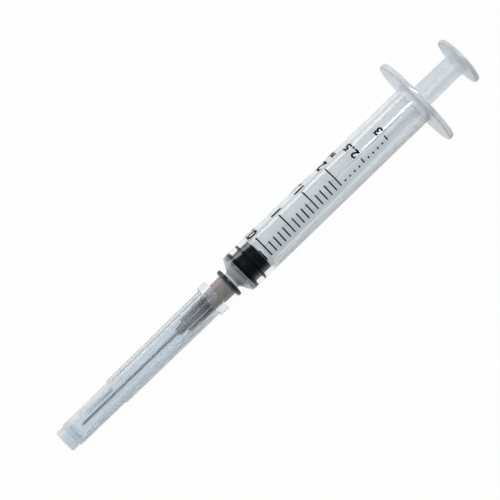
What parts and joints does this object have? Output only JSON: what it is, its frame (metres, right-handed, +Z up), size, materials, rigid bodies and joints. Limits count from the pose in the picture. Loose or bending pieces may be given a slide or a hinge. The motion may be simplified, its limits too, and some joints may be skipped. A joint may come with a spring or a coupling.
{
  "type": "luer slip syringe",
  "caption": "Disposable three-piece slip-tip syringe, plunger home, with a capped hypodermic needle fitted, lying on its side.",
  "frame": {"origin": "middle of the footprint, on the ground that the syringe lies on", "axes": "+X along the syringe towards the thumb rest, within its lean of about two degrees; +Z up, towards the printed scale; +Y across, along the finger flange"},
  "size_m": [0.1334, 0.0246, 0.0154],
  "materials": {
    "clear_polypropylene": "moulded, polished, see-through",
    "rod_polypropylene": "moulded, natural, translucent",
    "cap_polypropylene": "moulded, natural, translucent",
    "hub_polypropylene": "moulded, smoke black, faintly translucent",
    "stopper_rubber": "moulded, siliconed",
    "needle_steel": "drawn and polished",
    "clear_resin": "cured clear resin",
    "scale_ink": "printed"
  },
  "bodies": {
    "barrel": {"barrel": "clear_polypropylene", "scale_print": "scale_ink"},
    "stopper": {"stopper": "stopper_rubber"},
    "plunger": {"plunger_rod": "rod_polypropylene"},
    "needle": {"needle_hub": "hub_polypropylene", "needle_tube": "needle_steel", "needle_adhesive": "clear_resin"},
    "cap": {"needle_cap": "cap_polypropylene"}
  },
  "joints": [
    {"name": "plunger_slide", "type": "slide", "parent": "barrel", "child": "stopper", "axis": [0.9993, 0, 0.0386], "range_m": [0, 0.05072]},
    {"name": "plunger_twist", "type": "hinge", "parent": "stopper", "child": "plunger", "pos_m": [-0.00787, 0, 0.00542], "axis": [0.9993, 0, 0.0386], "continuous": true},
    {"name": "needle_pull", "type": "slide", "parent": "barrel", "child": "needle", "axis": [-0.9993, 0, -0.0386], "range_m": [0, 0.012]},
    {"name": "cap_pull", "type": "slide", "parent": "needle", "child": "cap", "axis": [-0.9993, 0, -0.0386], "range_m": [0, 0.047]}
  ]
}
